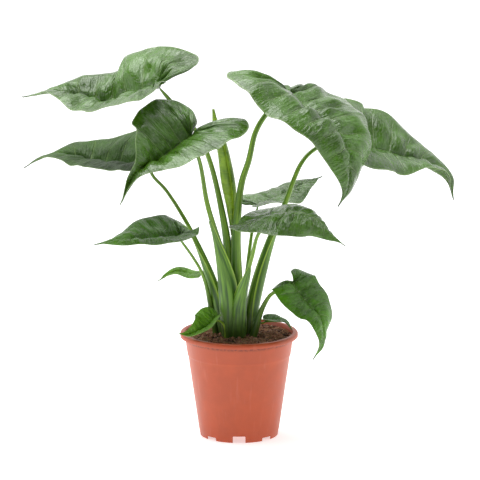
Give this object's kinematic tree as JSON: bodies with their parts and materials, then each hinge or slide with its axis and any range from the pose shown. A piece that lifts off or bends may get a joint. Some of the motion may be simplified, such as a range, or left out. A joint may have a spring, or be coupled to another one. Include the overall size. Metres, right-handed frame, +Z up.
{
  "type": "potted chinese taro",
  "caption": "Leafy houseplant with heart-shaped glossy leaves on long arching stalks, standing in peat in a tapered plastic nursery pot with a rolled rim.",
  "frame": {"origin": "on the surface the pot stands on, under the middle of the whole plant's box", "axes": "+Z up along the pot's axis, +X to the right as seen from the front, along the plant's widest spread, +Y to the back"},
  "size_m": [0.6264, 0.3006, 0.5573],
  "materials": {
    "pot": "satin",
    "soil": "matte",
    "leaf": "gloss",
    "young_leaf": "satin",
    "stalk": "satin"
  },
  "bodies": {
    "root": {"pot": "pot", "soil": "soil", "leaf_top_right": "leaf", "stalk_top_right": "stalk", "leaf_top_left": "leaf", "stalk_top_left": "stalk", "leaf_front_right": "leaf", "stalk_front_right": "stalk", "leaf_far_right": "leaf", "stalk_far_right": "stalk", "leaf_front_left": "leaf", "stalk_front_left": "stalk", "leaf_back_right": "leaf", "stalk_back_right": "stalk", "leaf_far_left": "leaf", "stalk_far_left": "stalk", "leaf_low_right": "leaf", "stalk_low_right": "stalk", "leaf_low_left": "leaf", "stalk_low_left": "stalk", "leaf_small_left": "leaf", "stalk_small_left": "stalk", "leaf_rim_left": "leaf", "stalk_rim_left": "stalk", "leaf_rim_right": "leaf", "stalk_rim_right": "stalk", "leaf_rolled": "young_leaf", "stalk_rolled": "stalk"}
  },
  "joints": []
}
